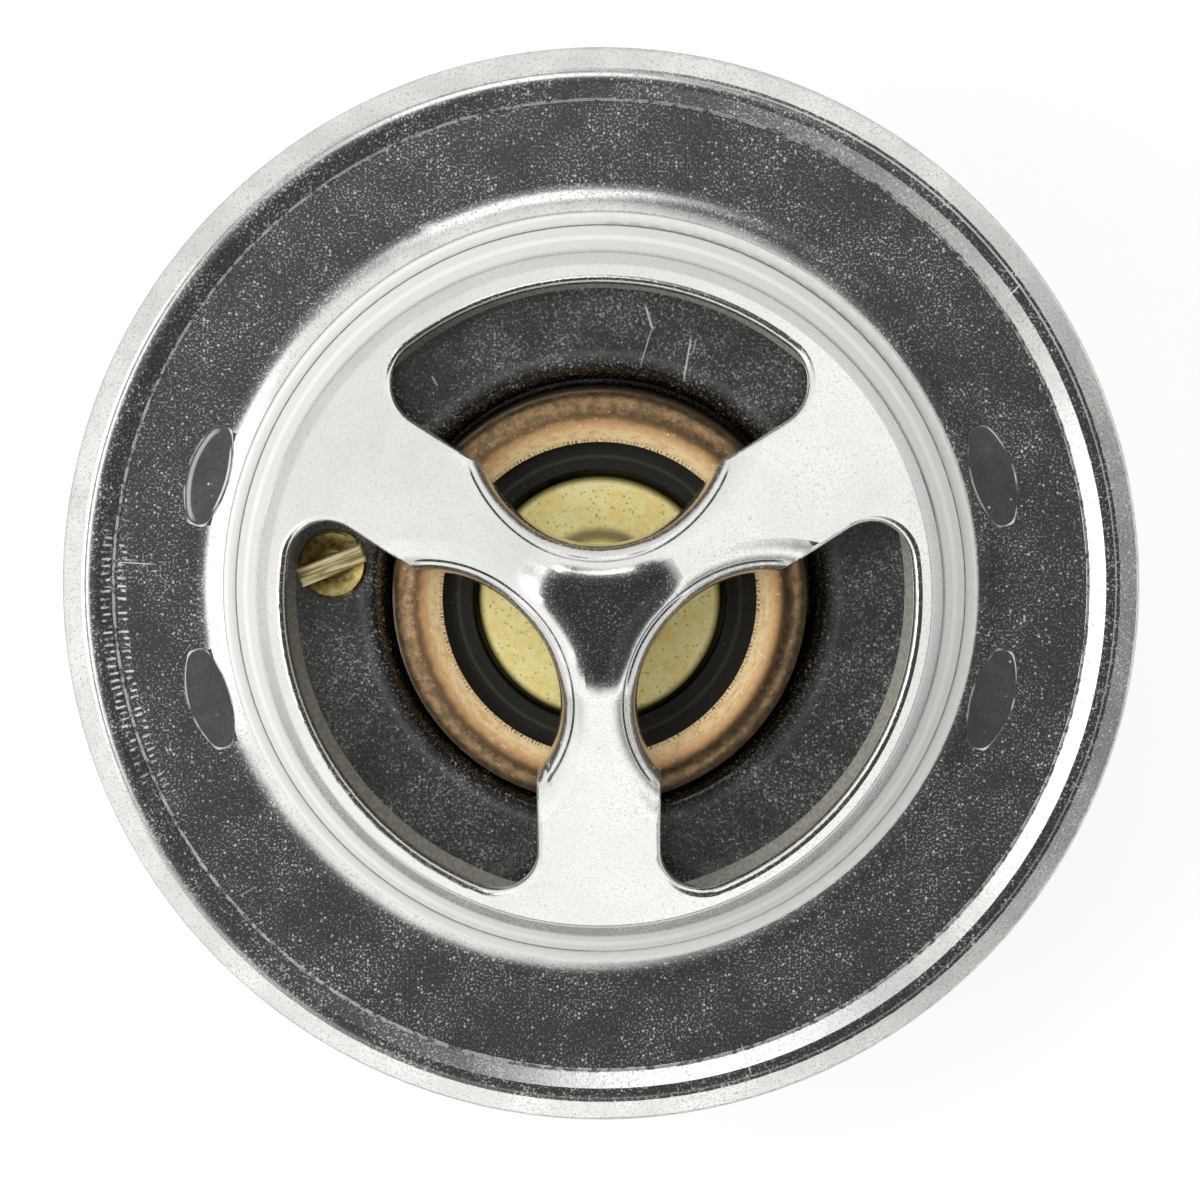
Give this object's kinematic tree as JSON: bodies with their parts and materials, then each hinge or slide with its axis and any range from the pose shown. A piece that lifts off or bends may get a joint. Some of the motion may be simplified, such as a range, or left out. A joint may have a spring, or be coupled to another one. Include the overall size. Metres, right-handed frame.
{
  "type": "coolant thermostat valve",
  "caption": "Flanged wax-element thermostat valve with a domed three-window bridge, sprung valve plate and strap frame.",
  "frame": {"origin": "on the valve's axis, in the plane of the flange's flat upper face, inside the flange's edge land", "axes": "+Z along the axis towards the bridge, +X through one strap of the frame"},
  "size_m": [0.054, 0.054, 0.037],
  "materials": {
    "flange_steel": "tumbled bare steel",
    "bridge_steel": "bright pressed steel",
    "frame_steel": "tumbled bare steel",
    "spring_steel": "drawn wire",
    "piston_steel": "ground and polished",
    "plate_steel": "tumbled bare steel",
    "seal_rubber": "moulded satin rubber",
    "cup_copper": "tarnished copper",
    "wax": "soft wax",
    "sleeve_rubber": "moulded rubber",
    "guide_brass": "matt turned brass",
    "washer_steel": "dark bare steel",
    "bleed_brass": "tumbled brass"
  },
  "bodies": {
    "housing": {"flange": "flange_steel", "bridge": "bridge_steel", "frame": "frame_steel", "spring": "spring_steel", "piston": "piston_steel"},
    "valve": {"valve_plate": "plate_steel", "valve_seal": "seal_rubber", "wax_cup": "cup_copper", "wax_charge": "wax", "rubber_sleeve": "sleeve_rubber", "guide": "guide_brass", "seal_ring": "sleeve_rubber", "backup_washer": "washer_steel", "clamp_washer": "washer_steel", "bleed_eyelet": "bleed_brass"},
    "jiggle": {"jiggle_pin": "bleed_brass"}
  },
  "joints": [
    {"name": "valve_lift", "type": "slide", "parent": "housing", "child": "valve", "axis": [0, 0, -1], "range_m": [0, 0.008], "stiffness_N_per_m": 1200, "springref_m": -0.012, "deforming": ["spring"]},
    {"name": "jiggle_slide", "type": "slide", "parent": "valve", "child": "jiggle", "axis": [0, 0, 1], "range_m": [0, 0.0012]}
  ]
}
